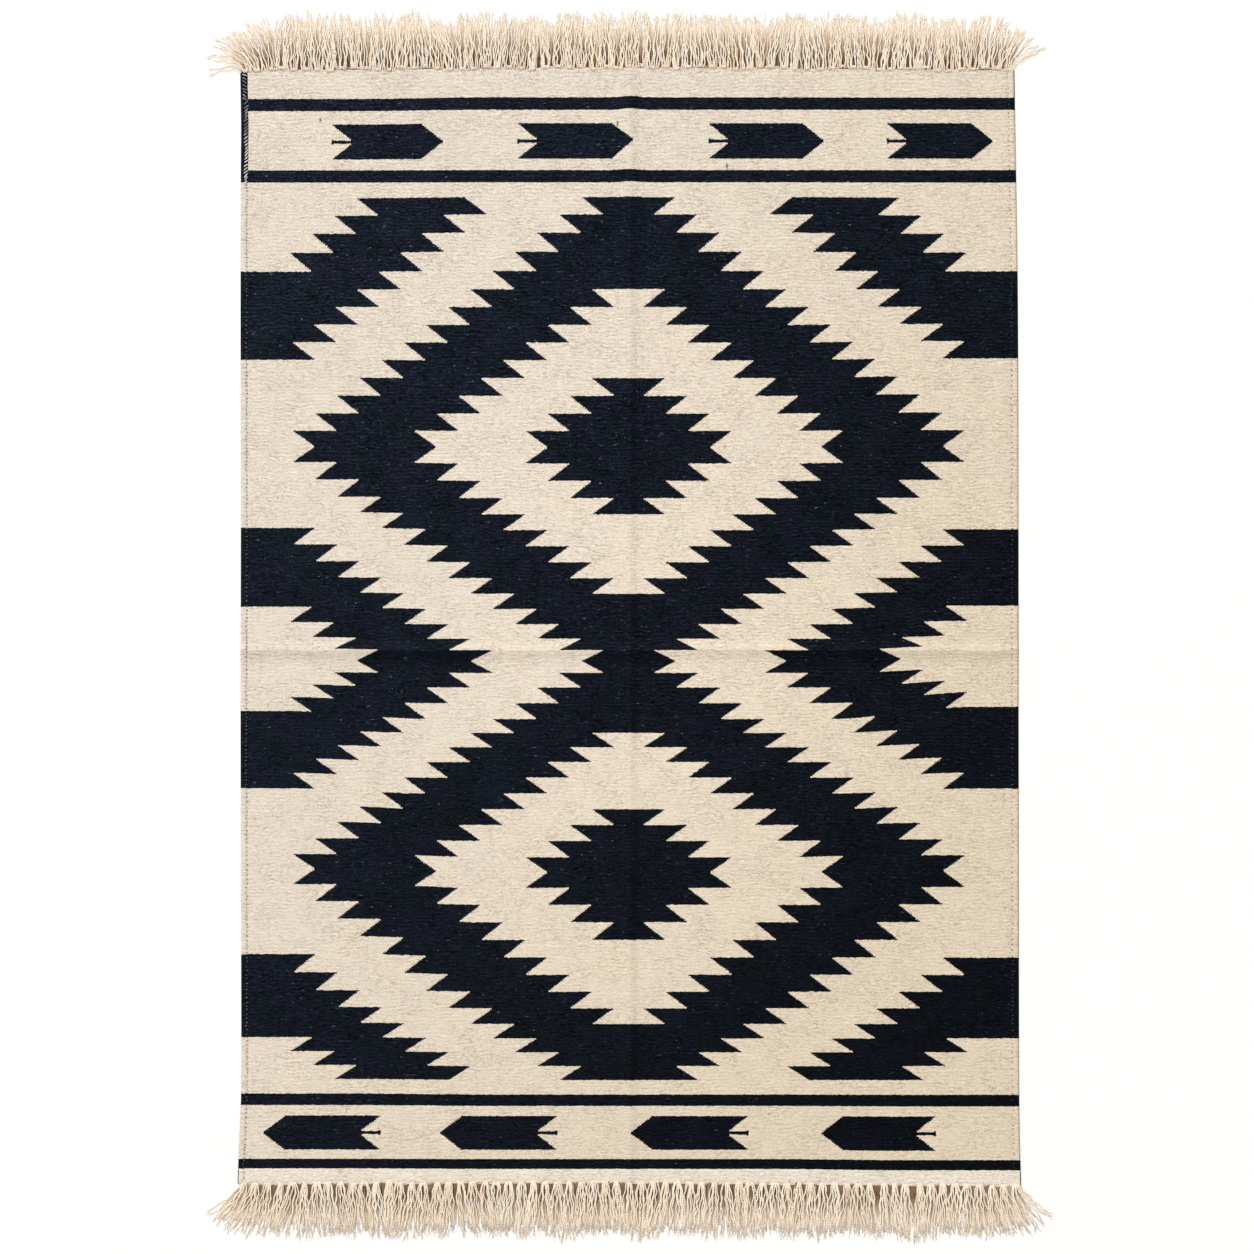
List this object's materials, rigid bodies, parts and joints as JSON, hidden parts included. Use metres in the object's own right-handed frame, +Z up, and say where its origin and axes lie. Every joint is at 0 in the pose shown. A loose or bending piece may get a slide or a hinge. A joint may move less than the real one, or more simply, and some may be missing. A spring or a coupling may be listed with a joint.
{
  "type": "dhurrie rug",
  "caption": "Flat-woven cotton rug, dark and cream, with serrated diamonds, striped ends, stitched side hems and a knotted fringe at each end.",
  "frame": {"origin": "middle of the rectangle that the rug fills with its fringes, on the floor that it lies on", "axes": "+Y along the rug's length towards the end whose arrows point to the right, +X across it to the right seen from above, +Z up out of the patterned face"},
  "size_m": [1.5192, 2.2124, 0.0074],
  "materials": {
    "flatweave_cotton": "matt flat-woven cotton double cloth, near-black navy and cream",
    "fringe_yarn": "matt loosely twisted cotton yarn, natural cream"
  },
  "bodies": {
    "root": {"woven_panel": "flatweave_cotton", "fringe_top": "fringe_yarn", "fringe_bottom": "fringe_yarn"}
  },
  "joints": []
}
